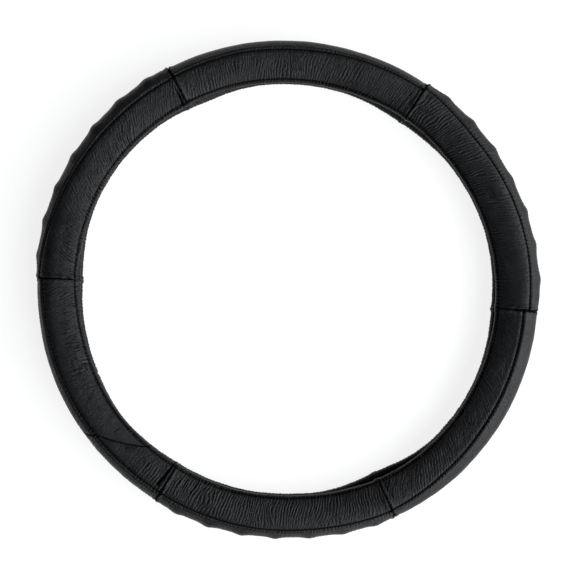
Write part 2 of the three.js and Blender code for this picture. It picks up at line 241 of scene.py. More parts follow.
# Single deep creases: the segment, the angle and the lean in degrees per millimetre of wrap, the
# wraps between which the crease runs, its depth and its width
SINGLE_CREASES = (
    ("lower_left", 236.35, 0.045, 20.5, 41, 1.3, 0.9),
    ("upper_left", 118.9, 0.045, 29, 40, 1.0, 0.6),
    ("bottom", 241.9, 0.07, 26, 37, 0.4, 0.5),
    ("bottom", 244.3, 0.09, 25, 37, 0.45, 0.6),
    ("bottom", 247.0, 0.05, 30, 38, 0.3, 0.5),
    ("top", 57.6, 0.05, 20, 38, 0.35, 0.5),
    ("lower_right", 297.2, -0.05, 22, 36, 0.35, 0.5),
)
SINGLE_CREASE_FADE = 2

# Colours and finish. Where a colour varies, its two tones come with their places on a ramp.
LEATHER_COLOURS = ((0.3, (0.0026, 0.0028, 0.0035)), (0.7, (0.0052, 0.0056, 0.0067)))
# The near-black below is painted shade, the colour that grooves and creases are darkened towards.
CREVICE_SHADE_COLOUR = (0.001, 0.001, 0.0012, 1)
RUBBER_COLOURS = ((0.3, (0.010, 0.010, 0.011)), (0.7, (0.018, 0.018, 0.019)))
FOAM_COLOURS = ((0.1, (0.03, 0.03, 0.028)), (0.6, (0.07, 0.07, 0.066)))
THREAD_COLOURS = ((0.2, (0.002, 0.002, 0.0024)), (0.8, (0.006, 0.006, 0.0068)))
FLOOR_COLOUR = (0.25, 0.25, 0.25, 1)
LEATHER_ROUGHNESS = (0.40, 0.54)
LEATHER_SPECULAR = 0.28

# Stage and camera in metres, the sensor in millimetres. The floor is lifted towards white where it
# is seen, and fully so from FLOOR_FAR on. WALL_TOP is how high above the horizon the white of the
# walls is reflected, as the height of a direction of length 1.
FLOOR_HALF = 4.0
FLOOR_GAP = 0.0002
FLOOR_LIFT = 0.85
FLOOR_NEAR = 0.4
FLOOR_FAR = 1.5
WORLD_LEVEL = 0.02
WALL_TOP = 0.25
CAMERA_HEIGHT = 0.95
CAMERA_ASIDE = (0.0010, 0.0012)
CAMERA_SENSOR = 36
VIEW_WIDTH_AT_ORIGIN = 0.445

# Lamps: name, place and size in metres, power and colour. All aim at the origin.
LAMPS = (
    ("key", (1.06, -0.39, 1.13), 1.6, 28, (0.9, 0.96, 1.0)),
    ("low", (1.41, -0.51, 0.55), 1.6, 9, (1, 1, 1)),
    ("near_side", (0.73, -1.26, 0.68), 1.2, 9, (1, 1, 1)),
    ("far_side", (1.36, 0.5, 0.68), 1.2, 8, (1, 1, 1)),
)

NAMES = list(SEGMENTS)
LEATHER_TOP = LEATHER_GAP + LEATHER_THICKNESS
LIP_RADIUS = CORE_WALL / 2
LIP_ARC = math.pi * LIP_RADIUS


# Section of the tube

def outline_table(samples=2880):
    """Distance from the outer equator, point and normal along the front half of the core."""
    turn = np.linspace(0, math.pi, samples + 1)
    power, slope = 2 / CORE_ROUNDNESS, CORE_ROUNDNESS - 1
    across = np.sign(np.cos(turn)) * np.abs(np.cos(turn)) ** power
    up = np.abs(np.sin(turn)) ** power
    widening = 1 + CORE_TAPER * across
    x, y = CORE_HALF_WIDTH * across, CORE_HALF_HEIGHT * widening * up
    lean = CORE_TAPER / widening * up ** CORE_ROUNDNESS
    normal_x = (np.sign(across) * np.abs(across) ** slope - lean) / CORE_HALF_WIDTH
    normal_y = up ** slope / (CORE_HALF_HEIGHT * widening)
    size = np.hypot(normal_x, normal_y)
    distance = np.concatenate([[0], np.cumsum(np.hypot(np.diff(x), np.diff(y)))])
    return distance, x, y, normal_x / size, normal_y / size


OUTLINE = outline_table()
BACK_DEPTH = OUTLINE[2].max() - BACK_PRESS


def outline_at(distance):
    """Point and normal at a distance from the outer equator."""
    return [np.interp(distance, OUTLINE[0], column) for column in OUTLINE[1:]]


def find_lip_start():
    """Where the wall starts to turn round at the slot, so that the leather leaves SLOT_HEIGHT."""
    distance, x, y, normal_x, normal_y = OUTLINE
    centre = SLOT_HEIGHT / 2 + LEATHER_TOP + LIP_RADIUS
    past = (x < 0) & (y - LIP_RADIUS * normal_y <= centre)
    return distance[past][0]


LIP_START = find_lip_start()
LIP_END = LIP_START + LIP_ARC
WRAP_END = LIP_END + LIP_START
HEM_LINE = LIP_START - HEM_LINE_SETBACK


def section_point(wrap, lift):
    """Where a point of the wrapped leather's path lies in the section plane: round the core's
    outside, round the lip and back along the channel's wall. The back is pressed flat."""
    along = np.abs(wrap)
    inside = along >= LIP_END
    x, y, normal_x, normal_y = outline_at(np.where(inside, WRAP_END - along, along))
    offset = np.where(inside, -CORE_WALL - lift, lift)
    out_x, out_y = x + normal_x * offset, y + normal_y * offset
    lip_x, lip_y, lip_nx, lip_ny = outline_at(LIP_START)
    turn = (along - LIP_START) / LIP_RADIUS
    reach = LIP_RADIUS + lift
    round_x = lip_x - lip_nx * LIP_RADIUS + reach * (lip_nx * np.cos(turn) - lip_ny * np.sin(turn))
    round_y = lip_y - lip_ny * LIP_RADIUS + reach * (lip_ny * np.cos(turn) + lip_nx * np.sin(turn))
    turning = (along > LIP_START) & ~inside
    out_x = np.where(turning, round_x, out_x)
    out_y = np.where(turning, round_y, out_y)
    ground = -BACK_DEPTH - np.minimum(offset, LEATHER_TOP)
    above = -out_y - ground
    pressed = ground + (above + np.sqrt(above ** 2 + PRESS_SOFTNESS ** 2)) / 2
    return out_x, np.where(wrap < 0, np.where(turning, -out_y, pressed), out_y)


def push_outwards(angle, wrap):
    """How far the ring's shape pushes a point outwards, compared with a true circle."""
    place = np.minimum(np.abs(wrap), WRAP_END - np.abs(wrap))
    lip_share = smooth(place, LIP_START - LIP_LENGTH, LIP_START)
    on_front = wrap > 0
    push = OVAL_AMOUNT * np.cos(2 * np.radians(angle - OVAL_ANGLE))
    push = push - FRONT_LIP_REACH * lip_share * on_front
    for middle, reach, tube, front, back in UNEVEN_STRETCHES:
        away = (angle - middle + FULL_TURN / 2) % FULL_TURN - FULL_TURN / 2
        push = push + bell(away, reach) * (tube + np.where(on_front, front, back) * lip_share)
    return push


def ring_points(angle, wrap, lift):
    """Points in metres in the row frame."""
    x, y = section_point(wrap, lift)
    turn = np.radians(angle)
    radius = RING_RADIUS + push_outwards(angle, wrap) + x
    return np.stack([radius * np.cos(turn), radius * np.sin(turn), y], -1) * MM


def to_mm(angle):
    """Distance along the ring's centre line."""
    return np.radians(angle) * RING_RADIUS


def to_degrees(distance):
    return np.degrees(distance / RING_RADIUS)


def smooth(x, low=0.0, high=1.0):
    """Goes softly from 0 at low to 1 at high."""
    t = np.clip((x - low) / (high - low), 0, 1)
    return t * t * (3 - 2 * t)


def bell(x, width):
    """1 at 0, falling softly to nothing within about two widths."""
    return np.exp(-(x / width) ** 2)


# Segments

def face_name(side):
    return "front" if side > 0 else "back"


def end_joint(name):
    """The angle of the joint where a segment ends and the next one starts."""
    place = NAMES.index(name) + 1
    if place < len(NAMES):
        return SEGMENTS[NAMES[place]]["joint"]
    return SEGMENTS[NAMES[0]]["joint"] + FULL_TURN


def seam_at(name, angle):
    """The wrap of the outer seam at any angle of a segment."""
    first, last = SEGMENTS[name]["joint"], end_joint(name)
    knots = SEGMENTS[name]["seam"]
    return np.interp(angle, np.linspace(first, last, len(knots)), knots)


def splice_at(wrap):
    """The splice's angle at any wrap."""
    seam = seam_at(SPLICED, SPLICE_ANGLE)
    on_front = np.clip(wrap, seam, HEM_LINE) - seam
    return SPLICE_ANGLE + SPLICE_FRONT_SLANT * on_front + SPLICE_BACK_SLANT * (wrap - seam - on_front)


# Noise and creases

def noise(x, y, seed):
    """Smooth gradient noise, about -1 to 1."""
    turn = np.random.default_rng(seed).uniform(0, 2 * math.pi, (NOISE_SIZE, NOISE_SIZE))
    slope_x, slope_y = np.cos(turn), np.sin(turn)
    cell_x, cell_y = np.floor(x).astype(int), np.floor(y).astype(int)
    part_x, part_y = x - cell_x, y - cell_y

    def corner(step_x, step_y):
        i, j = (cell_x + step_x) % NOISE_SIZE, (cell_y + step_y) % NOISE_SIZE
        return slope_x[i, j] * (part_x - step_x) + slope_y[i, j] * (part_y - step_y)

    fade_x, fade_y = smooth(part_x), smooth(part_y)
    near = corner(0, 0) * (1 - fade_x) + corner(1, 0) * fade_x
    far = corner(0, 1) * (1 - fade_x) + corner(1, 1) * fade_x
    return NOISE_GAIN * (near * (1 - fade_y) + far * fade_y)


def layer(along, across, numbers):
    """Noise of one of the layers listed above."""
    height, length, width, seed = numbers
    return height * noise(along / length, across / width, seed)


def crease_course(name, along, wrap):
    """A coordinate across the fine creases: they run where it stays the same."""
    warp = layer(along, wrap, BROAD_WARP) + layer(along, wrap, FINE_WARP)
    return along + SEGMENTS[name]["slant"] * wrap + warp


def ridged(value):
    """Sharp valleys where the noise crosses zero, rounded tops between them."""
    return np.minimum(np.abs(value) * BROAD_CREASE_STEEPNESS, 1) ** BROAD_CREASE_SHARPNESS - 1


def wrinkle_height(name, along, wrap):
    """Height of the leather's creases over its smooth surface: a comb of fine ones that comes and
    goes, and patches of broad ones."""
    course = crease_course(name, along, wrap)
    wander = layer(course, wrap, BROAD_WANDER) + layer(course, wrap, FINE_WANDER)
    wave = np.abs(np.sin(math.pi * (course / CREASE_PITCH + wander)))
    comb = 2 * wave ** CREASE_SHARPNESS - 1
    fading = smooth(layer(course, wrap, CREASE_FADES), *CREASE_FADING)
    fade = CREASE_LEAST + (1 - CREASE_LEAST) * fading
    broad = ridged(layer(course, wrap + BROAD_CREASE_SHIFT, BROAD_CREASES))
    patch = smooth(layer(along, wrap, CREASE_PATCHES), *BROAD_CREASE_PATCHES)
    from_seam, from_hem = STRENGTH_MARGINS
    inwards = smooth(wrap, seam_at(name, to_degrees(along)) + from_seam, HEM_LINE + from_hem)
    front = SEAM_STRENGTH + (HEM_STRENGTH - SEAM_STRENGTH) * inwards
    strength = SEGMENTS[name]["creased"] * np.where(wrap > 0, front, BACK_STRENGTH)
    return strength * (CREASE_HEIGHT * comb * fade + BROAD_CREASE_HEIGHT * broad * patch)


def swells(along, wrap):
    """Broad, soft unevenness of the leather."""
    return layer(along, wrap, BROAD_SWELLS) + layer(along, wrap, FINE_SWELLS)


# Finger grips

def grip_rise(name, angle):
    """The pad's lift of the leather at its crown, along the segment."""
    data = SEGMENTS[name]
    first, last = data["grips"]
    pitch = (last - first) / (GRIP_COUNT - 1)
    place = (angle - first) / pitch
    remaining = GRIP_COUNT - 1 - place
    lean = place + GRIP_LEAN * np.sin(2 * math.pi * place)
    number = np.clip(np.round(place), 0, GRIP_COUNT - 1).astype(int)
    uneven = np.random.default_rng(int(first)).uniform(*GRIP_UNEVENNESS, GRIP_COUNT)[number]
    wave = (np.cos(math.pi * lean) ** 2) ** GRIP_SHARPNESS
    pad = smooth(place, *PAD_BEGINNING) * smooth(remaining, *PAD_BEGINNING)
    peaks = smooth(place, *PEAK_BEGINNING) * smooth(remaining, *PEAK_BEGINNING)
    return data["rise"] * pad + (data["peak"] - data["rise"]) * wave * uneven * peaks


def pad_lift(name, angle, wrap):
    """How far the foam pad lifts the leather, which is nowhere in segments without one."""
    if "grips" not in SEGMENTS[name]:
        return np.zeros(np.broadcast(angle, wrap).shape)
    front = seam_at(name, angle) - GRIP_SEAM_MARGIN - wrap
    shape = smooth(front, 0, GRIP_FADE) * smooth(wrap - GRIP_BACK_EDGE, 0, GRIP_FADE)
    return grip_rise(name, angle) * shape


# Height of the leather

def rounded(distance, radius):
    """0 at an edge and 1 from radius on, as a quarter circle."""
    return np.sqrt(1 - (1 - np.clip(distance / radius, 0, 1)) ** 2)


def fold_lift(from_joint):
    """The leather folded over at a joint raises it there."""
    return FOLD_RISE * (1 - smooth(from_joint, FOLD_CREST, FOLD_LENGTH))


def stitch_wave(along):
    """A wave as long as a stitch's pitch: 1 between two of the hem's stitches, -1 at their middles."""
    return np.cos(2 * math.pi * along / STITCH_PITCH)


def hem_lift(along, wrap):
    """The hem's second layer, its stitched groove and the puckers between the stitches."""
    reach = np.abs(wrap) - HEM_LINE
    wave = stitch_wave(along) * (STITCH_EVENNESS + layer(along, wrap, STITCH_UNEVENNESS))
    groove = HEM_GROOVE * bell(reach, HEM_GROOVE_WIDTH) * (HEM_GROOVE_LEVEL + HEM_GROOVE_WAVE * wave)
    strip_start = smooth(reach, *HEM_STRIP_START)
    strip_end = smooth(reach, HEM_LINE_SETBACK + HEM_STRIP_WIDTH, HEM_LINE_SETBACK + LIP_ARC)
    strip = strip_start * (1 - strip_end)
    pucker = PUCKER_HEIGHT * wave * bell(reach - PUCKER_PLACE, PUCKER_WIDTH)
    folds = layer(along + HEM_FOLD_SLANT * wrap, wrap, HEM_FOLDS) * strip
    return HEM_RISE * strip - groove + pucker + folds


def seam_lift(along, from_seam, side):
    """The raised folded edge along the outer seam, and its puckers."""
    bead = FRONT_BEAD_RISE if side > 0 else SEAM_BEAD_RISE
    lift = bead * bell(from_seam - SEAM_BEAD_SETBACK, SEAM_BEAD_WIDTH)
    return lift + SEAM_PUCKER_HEIGHT * stitch_wave(along) * bell(from_seam, SEAM_PUCKER_WIDTH)


def joint_radius(name, angle, wrap):
    """How round a joint's edges are: its groove is a wide wedge beside the outer seam and a thin
    line elsewhere."""
    before_tip = seam_at(name, angle) + JOINT_WEDGE_LENGTH - wrap
    wedge = JOINT_WEDGE * smooth(before_tip, 0, JOINT_WEDGE_LENGTH)
    return JOINT_EDGE_RADIUS + (JOINT_FRONT_WIDENING + wedge) * smooth(wrap, *JOINT_WIDENING)


def joint_depth(wrap):
    """How deep the edges at a joint dip, as a share of the leather's height: little where they
    are seen from the side."""
    before, after = JOINT_HEM_MARGINS
    front = smooth(wrap, *JOINT_DEEPENING) * (1 - smooth(wrap, HEM_LINE + before, HEM_LINE + after))
    return JOINT_DEPTH + JOINT_FRONT_DEPTH * front


def single_creases(name, angle, wrap):
    """The deep creases that run on their own, as a negative height."""
    lift = np.zeros_like(wrap)
    fade = SINGLE_CREASE_FADE
    for owner, place, lean, first, last, depth, width in SINGLE_CREASES:
        if owner == name:
            start = smooth(wrap, first - fade, first + fade)
            end = smooth(wrap, last - fade, last + fade)
            beside = to_mm(angle - place - lean * (wrap - first))
            lift = lift - depth * start * (1 - end) * bell(beside, width)
    return lift


def joint_gathers(angle, wrap, from_joint):
    """Short folds that run away from each joint, where the leather is gathered into it."""
    folds = noise(wrap / GATHER_WIDTH, from_joint / GATHER_LENGTH + angle, GATHER_SEED)
    return GATHER_HEIGHT * folds * bell(from_joint, GATHER_REACH)


def edge_steps(length):
    """Distances from 0 to length, close together near both ends."""
    near = np.array(EDGE_STEPS)
    between = length - 2 * near[-1]
    middle = np.linspace(near[-1], length - near[-1], max(2, round(between / FINE_ALONG)))
    return np.concatenate([near, middle[1:-1], length - near[::-1]])


def trimmed_steps(steps, stride):
    """Drops a few middle steps, so that the count is a whole number of strides."""
    spare = (len(steps) - 1) % stride
    middle = len(steps) // 2
    return np.concatenate([steps[:middle - spare], steps[middle:]]) if spare else steps


def across_steps(length):
    """Shares of the length, close together near its start, in a whole number of coarse steps."""
    near = np.array(EDGE_STEPS)
    count = round((length - near[-1]) / FINE_ACROSS)
    count += -(count + len(near) - 1) % UNDER_ACROSS
    return np.concatenate([near, np.linspace(near[-1], length, count + 1)[1:]]) / length


# Leather panels

def panel_grid(name, side, start, end):
    """Angle and wrap of every point of a panel. Across, it runs from its seam edge to its hem inside
    the channel. start and end give the angles of its two ends at any wrap."""
    hem = LIP_END + HEM_TURN
    steps = trimmed_steps(edge_steps(to_mm(end(0) - start(0))), UNDER_ALONG)
    share = (steps / steps[-1])[:, None]
    middle = start(0) + (end(0) - start(0)) * share
    edge = seam_at(name, middle) + side * SEAM_GAP / 2
    across = across_steps(hem - side * np.mean(edge))[None, :]
    wrap = edge + (side * hem - edge) * across
    angle = start(wrap) + (end(wrap) - start(wrap)) * share
    return angle, wrap


def leather_lift(name, side, angle, wrap, ends):
    """Height of a panel's outside over the core, and the painted shade of each point, from 0 to 1,
    which grows with how deep it lies in a groove or a crease. ends holds, for its start and end,
    whether it is a joint and each point's distance from it."""
    along = to_mm(angle)
    from_seam = side * (wrap - seam_at(name, angle)) - SEAM_GAP / 2
    smooth_lift = LEATHER_TOP + pad_lift(name, angle, wrap) + swells(along, wrap)
    for is_joint, distance in ends:
        if is_joint:
            smooth_lift = smooth_lift + fold_lift(distance)
    lift = smooth_lift + wrinkle_height(name, along, wrap)
    lift = lift + hem_lift(along, wrap) + seam_lift(along, from_seam, side)
    lift = lift + single_creases(name, angle, wrap)
    edge = 1 - SEAM_DEPTH * (1 - rounded(from_seam, SEAM_EDGE_RADIUS))
    for is_joint, distance in ends:
        if is_joint:
            lift = lift + joint_gathers(angle, wrap, distance)
            groove = 1 - rounded(distance, joint_radius(name, angle, wrap))
            edge = edge * (1 - joint_depth(wrap) * groove)
        else:
            edge = edge * (1 - SPLICE_DEPTH * (1 - rounded(distance, SPLICE_EDGE_RADIUS)))
    hem_edge = rounded(LIP_END + HEM_TURN - np.abs(wrap), LEATHER_THICKNESS)
    lift = UNDERSIDE_LIFT + (lift - UNDERSIDE_LIFT) * np.maximum(edge * hem_edge, THINNEST_EDGE)
    # The second value is painted shade: darkest where the leather lies deepest below its smooth surface.
    return lift, np.clip((smooth_lift - CREVICE_SHADE_START - lift) / CREVICE_SHADE_DEPTH, 0, 1)


def rim_faces(fine, coarse, stride, flip):
    """Faces between a fine and a coarse edge."""
    faces = []
    for k in range(len(coarse) - 1):
        part = [int(i) for i in fine[k * stride:(k + 1) * stride + 1]]
        near, far = int(coarse[k]), int(coarse[k + 1])
        faces.append(part + [far, near] if flip else [near, far] + part[::-1])
    return faces


def sheet_object(name, top, under, coordinates, crevice_shade, flip):
    """A closed mesh of a fine outside and a coarse underside. coordinates hold the outside's map, and
    the array after them the painted shade of its grooves and creases, per point."""
    rows, columns = top.shape[:2]
    upper = np.arange(rows * columns).reshape(rows, columns)
    lower = rows * columns + np.arange(under.shape[0] * under.shape[1]).reshape(under.shape[:2])
    quads = np.stack([upper[:-1, :-1], upper[1:, :-1], upper[1:, 1:], upper[:-1, 1:]], -1).reshape(-1, 4)
    below = np.stack([lower[:-1, :-1], lower[:-1, 1:], lower[1:, 1:], lower[1:, :-1]], -1).reshape(-1, 4)
    faces = quads.tolist() + below.tolist()
    faces += rim_faces(upper[:, 0], lower[:, 0], UNDER_ALONG, False)
    faces += rim_faces(upper[:, -1], lower[:, -1], UNDER_ALONG, True)
    faces += rim_faces(upper[0], lower[0], UNDER_ACROSS, True)
    faces += rim_faces(upper[-1], lower[-1], UNDER_ACROSS, False)
    if flip:
        faces = [face[::-1] for face in faces]
    points = np.concatenate([top.reshape(-1, 3), under.reshape(-1, 3)])
    under_map = coordinates[::UNDER_ALONG, ::UNDER_ACROSS].reshape(-1, 2)
    mapped = np.concatenate([coordinates.reshape(-1, 2), under_map])
    piece = mesh_object(name, points, faces, mapped)
    # Painted shade of the grooves and creases, stored per point; the hidden underside is fully shaded.
    depth = piece.data.attributes.new("crevice_shade", "FLOAT", "POINT")
    depth.data.foreach_set("value", np.concatenate([crevice_shade.ravel(), np.ones(len(under_map))]))
    return piece


def mesh_object(name, points, faces, mapped):
    """A smooth mesh with a map named course, given per point."""
    mesh = bpy.data.meshes.new(name)
    mesh.from_pydata(points.tolist(), [], faces)
    course = mesh.uv_layers.new(name="course")
    corners = np.zeros(len(mesh.loops), dtype=np.int32)
    mesh.loops.foreach_get("vertex_index", corners)
    course.data.foreach_set("uv", mapped[corners].astype(np.float32).ravel())
    mesh.polygons.foreach_set("use_smooth", [True] * len(mesh.polygons))
    mesh.update()
    piece = bpy.data.objects.new(name, mesh)
    bpy.context.scene.collection.objects.link(piece)
    return piece


def dress(piece, material, slot, *nodes):
    """Gives a finished piece its material and its body, and hides the CAD nodes that it stands for."""
    piece.data.materials.append(material)
    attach(piece, "root")
    if nodes:
        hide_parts(*nodes)
    return piece


def leather_panel(name, side, start, end, joints, suffix, material):
    """One panel of the front or the back. joints says of its two ends whether each is a joint."""
    angle, wrap = panel_grid(name, side, start, end)
    ends = [(joints[0], to_mm(angle - start(wrap))), (joints[1], to_mm(end(wrap) - angle))]
    lift, crevice_shade = leather_lift(name, side, angle, wrap, ends)
    top = ring_points(angle, wrap, lift)
    coarse = (slice(None, None, UNDER_ALONG), slice(None, None, UNDER_ACROSS))
    under = ring_points(angle[coarse], wrap[coarse], BURIED_LIFT * np.ones_like(wrap[coarse]))
    course = np.stack([crease_course(name, to_mm(angle), wrap), wrap], -1) * MM
    face = face_name(side)
    piece = sheet_object(f"{face}_leather_{name}{suffix}", top, under, course, crevice_shade, side < 0)
    return dress(piece, material, "leather", f"{face}_panel_{name}{suffix}")


def all_leather(material):
    """Front and back panels of all segments. The lower left leather has a second piece, a patch,
    beyond its splice."""
    margin, gap = to_degrees(JOINT_GAP / 2), to_degrees(SPLICE_GAP / 2)
    for name, data in SEGMENTS.items():
        first, last = data["joint"] + margin, end_joint(name) - margin

        def start(wrap):
            return first + 0 * wrap

        def end(wrap):
            return last + 0 * wrap

        def before_splice(wrap):
            return splice_at(wrap) - gap

        def after_splice(wrap):
            return splice_at(wrap) + gap

        for side in (1, -1):
            if name == SPLICED:
                leather_panel(name, side, start, before_splice, (True, False), "", material)
                leather_panel(name, side, after_splice, end, (False, True), "_patch", material)
            else:
                leather_panel(name, side, start, end, (True, True), "", material)


# Rubber core and foam pads

def loft_object(name, loops, closed):
    """A mesh through closed loops of points, its ends capped unless it runs round in a ring."""
    rows, columns = loops.shape[:2]
    index = np.arange(rows * columns).reshape(rows, columns)
    following = np.roll(index, -1, axis=1)
    onward = np.roll(index, -1, axis=0)
    last = rows if closed else rows - 1
    beyond = np.roll(onward, -1, axis=1)
    quads = np.stack([index, onward, beyond, following], -1)[:last].reshape(-1, 4).tolist()
    if not closed:
        quads += [index[0].tolist(), index[-1][::-1].tolist()]
    span = np.linspace(0, 1, columns)[None, :] * np.ones((rows, 1))
    run = np.linspace(0, 1, rows)[:, None] * np.ones((1, columns))
    return mesh_object(name, loops.reshape(-1, 3), quads, np.stack([run, span], -1).reshape(-1, 2))


def rubber_core(material):
    angle = np.linspace(0, FULL_TURN, CORE_STEPS_ALONG, endpoint=False)[:, None]
    wrap = np.linspace(-WRAP_END, WRAP_END, CORE_STEPS_ACROSS, endpoint=False)[None, :]
    loops = ring_points(angle + 0 * wrap, wrap + 0 * angle, 0 * angle * wrap)
    piece = loft_object("rubber_ring", loops, True)
    return dress(piece, material, "rubber_liner", "rubber_core")


def grip_pad(name, material):
    """The foam under a segment's grips: a flat strip whose upper side follows the leather's inside."""
    first, last = SEGMENTS[name]["grips"]
    steps_along, steps_across = FOAM_STEPS
    pitch = (last - first) / (GRIP_COUNT - 1)
    angle = np.linspace(first - pitch / 2, last + pitch / 2, steps_along)[:, None]
    front = seam_at(name, angle) - GRIP_SEAM_MARGIN - GRIP_FADE / 2
    back = GRIP_BACK_EDGE + GRIP_FADE / 2
    share = np.linspace(0, 1, steps_across)[None, :]
    wrap = back + (front - back) * share
    sides = rounded(np.minimum(share, 1 - share) * (front - back), FOAM_SIDE_RADIUS)
    ends = rounded(to_mm(np.minimum(angle - angle[0], angle[-1] - angle)), FOAM_END_RADIUS)
    height = LEATHER_GAP - FOAM_CLEARANCE + pad_lift(name, angle, wrap)
    upper = ring_points(angle + 0 * wrap, wrap, UNDERSIDE_LIFT + height * sides * ends)
    lower = ring_points(angle + 0 * wrap, wrap, BURIED_LIFT + 0 * wrap)
    loops = np.concatenate([upper, lower[:, ::-1]], axis=1)
    piece = loft_object(f"foam_grip_{name}", loops, False)
    dress(piece, material, "foam", f"grip_pad_{name}")
    return piece


# Stitches, each its own short loop of thread whose ends dive into the leather

def unit(vectors):
    return vectors / np.linalg.norm(vectors, axis=1)[:, None]


def stitch_object(name, paths, material, *nodes):
    """paths hold, for each row of stitches, a function from distances to angle, wrap and lift, and
    the row's length."""
    points, faces = [], []
    ring_count = len(STITCH_RINGS)
    profile = np.sqrt(np.clip(1 - (2 * STITCH_RINGS - 1) ** STITCH_BLUNTNESS, STITCH_TIP, 1))
    reach = STITCH_RADIUS * MM * profile[:, None, None]
    around = np.linspace(0, 2 * math.pi, STITCH_SIDES, endpoint=False)
    cosine, sine = np.cos(around)[None, :, None], np.sin(around)[None, :, None]
    spiral = np.stack([
        np.repeat(STITCH_RINGS, STITCH_SIDES),
        np.tile(around / (2 * math.pi), ring_count),
    ], -1)
    rows = np.arange(ring_count * STITCH_SIDES).reshape(ring_count, STITCH_SIDES)
    shifted = np.roll(rows, -1, axis=1)
    quads = np.stack([rows[:-1], shifted[:-1], shifted[1:], rows[1:]], -1).reshape(-1, 4)
    caps = [rows[0][::-1], rows[-1]]
    for path, length in paths:
        for number in range(int(length / STITCH_PITCH)):
            along = (number + 0.5) * STITCH_PITCH + (STITCH_RINGS - 0.5) * STITCH_LENGTH
            angle, wrap, lift = path(along)
            lift = lift + STITCH_ARCH * (np.sin(math.pi * STITCH_RINGS) - 1)
            centre = ring_points(angle, wrap, lift)
            away = unit(ring_points(angle, wrap, lift + 1) - centre)
            beside = np.cross(unit(np.gradient(centre, axis=0)), away)
            circle = cosine * beside[:, None] + sine * away[:, None]
            first = len(points) * rows.size
            faces += (quads + first).tolist() + [(cap + first).tolist() for cap in caps]
            points.append((centre[:, None] + reach * circle).reshape(-1, 3))
    piece = mesh_object(name, np.concatenate(points), faces, np.tile(spiral, (len(points), 1)))
    return dress(piece, material, "thread", *nodes)


def leather_top(name, angle, wrap):
    """The leather's height at a stitch, without its groove."""
    joint = SEGMENTS[name]["joint"]
    near = np.minimum(np.abs(to_mm(angle - joint)), np.abs(to_mm(end_joint(name) - angle)))
    return LEATHER_TOP + fold_lift(near) + pad_lift(name, angle, wrap)


def segment_of(angle):
    """The segment that holds the middle of an array of angles, and how far the segments' own angles
    are ahead of these."""
    first = SEGMENTS[NAMES[0]]["joint"]
    middle = float(np.mean(angle))
    turned = (middle - first) % FULL_TURN + first
    return [name for name in NAMES if SEGMENTS[name]["joint"] <= turned][-1], turned - middle


def hem_stitches(side, material):
    wrap = HEM_LINE * side
    face = face_name(side)

    def path(along):
        angle = to_degrees(along)
        name, ahead = segment_of(angle)
        ground = leather_top(name, angle + ahead, wrap) - HEM_GROOVE
        return angle, wrap + 0 * angle, ground + STITCH_RADIUS * HEM_STITCH_SEAT

    rows = [(path, to_mm(FULL_TURN))]
    return stitch_object(f"{face}_hem_stitches", rows, material, f"{face}_hem_thread")


def seam_stitches(name, material):
    first = SEGMENTS[name]["joint"] + SEAM_STITCH_MARGIN_DEGREES
    last = end_joint(name) - SEAM_STITCH_MARGIN_DEGREES

    def path(along):
        angle = first + to_degrees(along)
        return angle, seam_at(name, angle), LEATHER_TOP - SEAM_STITCH_DEPTH + 0 * angle

    rows = [(path, to_mm(last - first))]
    return stitch_object(f"seam_stitches_{name}", rows, material, f"seam_thread_{name}")


def joint_stitches(name, material):
    joint = SEGMENTS[name]["joint"]
    reach = HEM_LINE - JOINT_STITCH_MARGIN

    def path(along):
        return joint + 0 * along, along - reach, LEATHER_TOP - JOINT_STITCH_DEPTH + 0 * along

    return stitch_object(f"joint_stitches_{name}", [(path, 2 * reach)], material, f"joint_thread_{name}")


def splice_stitches(material):
    """The splice's stitches on the front and round the back, on either side of the outer seam."""
    seam = float(seam_at(SPLICED, SPLICE_ANGLE))
    reach = HEM_LINE - JOINT_STITCH_MARGIN

    def stretch(face, start, length, slant):
        lean = math.hypot(1, to_mm(slant))

        def path(along):
            wrap = start + along / lean
            return splice_at(wrap), wrap, LEATHER_TOP - JOINT_STITCH_DEPTH + 0 * wrap

        rows = [(path, length * lean)]
        stitch_object(f"splice_stitches_{face}", rows, material, f"splice_thread_{face}")

    margin = SPLICE_STITCH_MARGIN
    stretch("front", seam + margin, reach - seam - margin, SPLICE_FRONT_SLANT)
    stretch("back", -reach, reach + seam - margin, SPLICE_BACK_SLANT)


# Materials

def new_material(name):
    material = bpy.data.materials.new(name)
    material.use_nodes = True
    nodes, links = material.node_tree.nodes, material.node_tree.links
    return material, nodes, links, nodes["Principled BSDF"]


def object_place(nodes):
    return nodes.new("ShaderNodeTexCoord").outputs["Object"]


def course_map(nodes):
    """The map that runs along and across the creases, or along and round a stitch."""
    course = nodes.new("ShaderNodeUVMap")
    course.uv_map = "course"
    return course.outputs["UV"]


def scaled(nodes, links, source, scale):
    mapping = nodes.new("ShaderNodeMapping")
    mapping.inputs["Scale"].default_value = scale
    links.new(source, mapping.inputs["Vector"])
    return mapping.outputs["Vector"]


def math_node(nodes, links, operation, first, second):
    node = nodes.new("ShaderNodeMath")
    node.operation = operation
    links.new(first, node.inputs[0])
    links.new(second, node.inputs[1])
    return node.outputs[0]


def range_node(nodes, links, value, span, low=0.0, high=1.0):
    """Runs over the span while the value runs from low to high."""
    node = nodes.new("ShaderNodeMapRange")
    node.inputs["From Min"].default_value = low
    node.inputs["From Max"].default_value = high
    node.inputs["To Min"].default_value = span[0]
    node.inputs["To Max"].default_value = span[1]
    links.new(value, node.inputs["Value"])
    return node.outputs["Result"]


def mix_node(nodes, links, share, first, second, kind="FLOAT"):
    """Goes from the output first to the fixed value second as share rises."""
    node = nodes.new("ShaderNodeMix")
    node.data_type = kind
    links.new(share, node.inputs["Factor"])
    links.new(first, node.inputs["A"])
    node.inputs["B"].default_value = second
    return node.outputs["Result"]


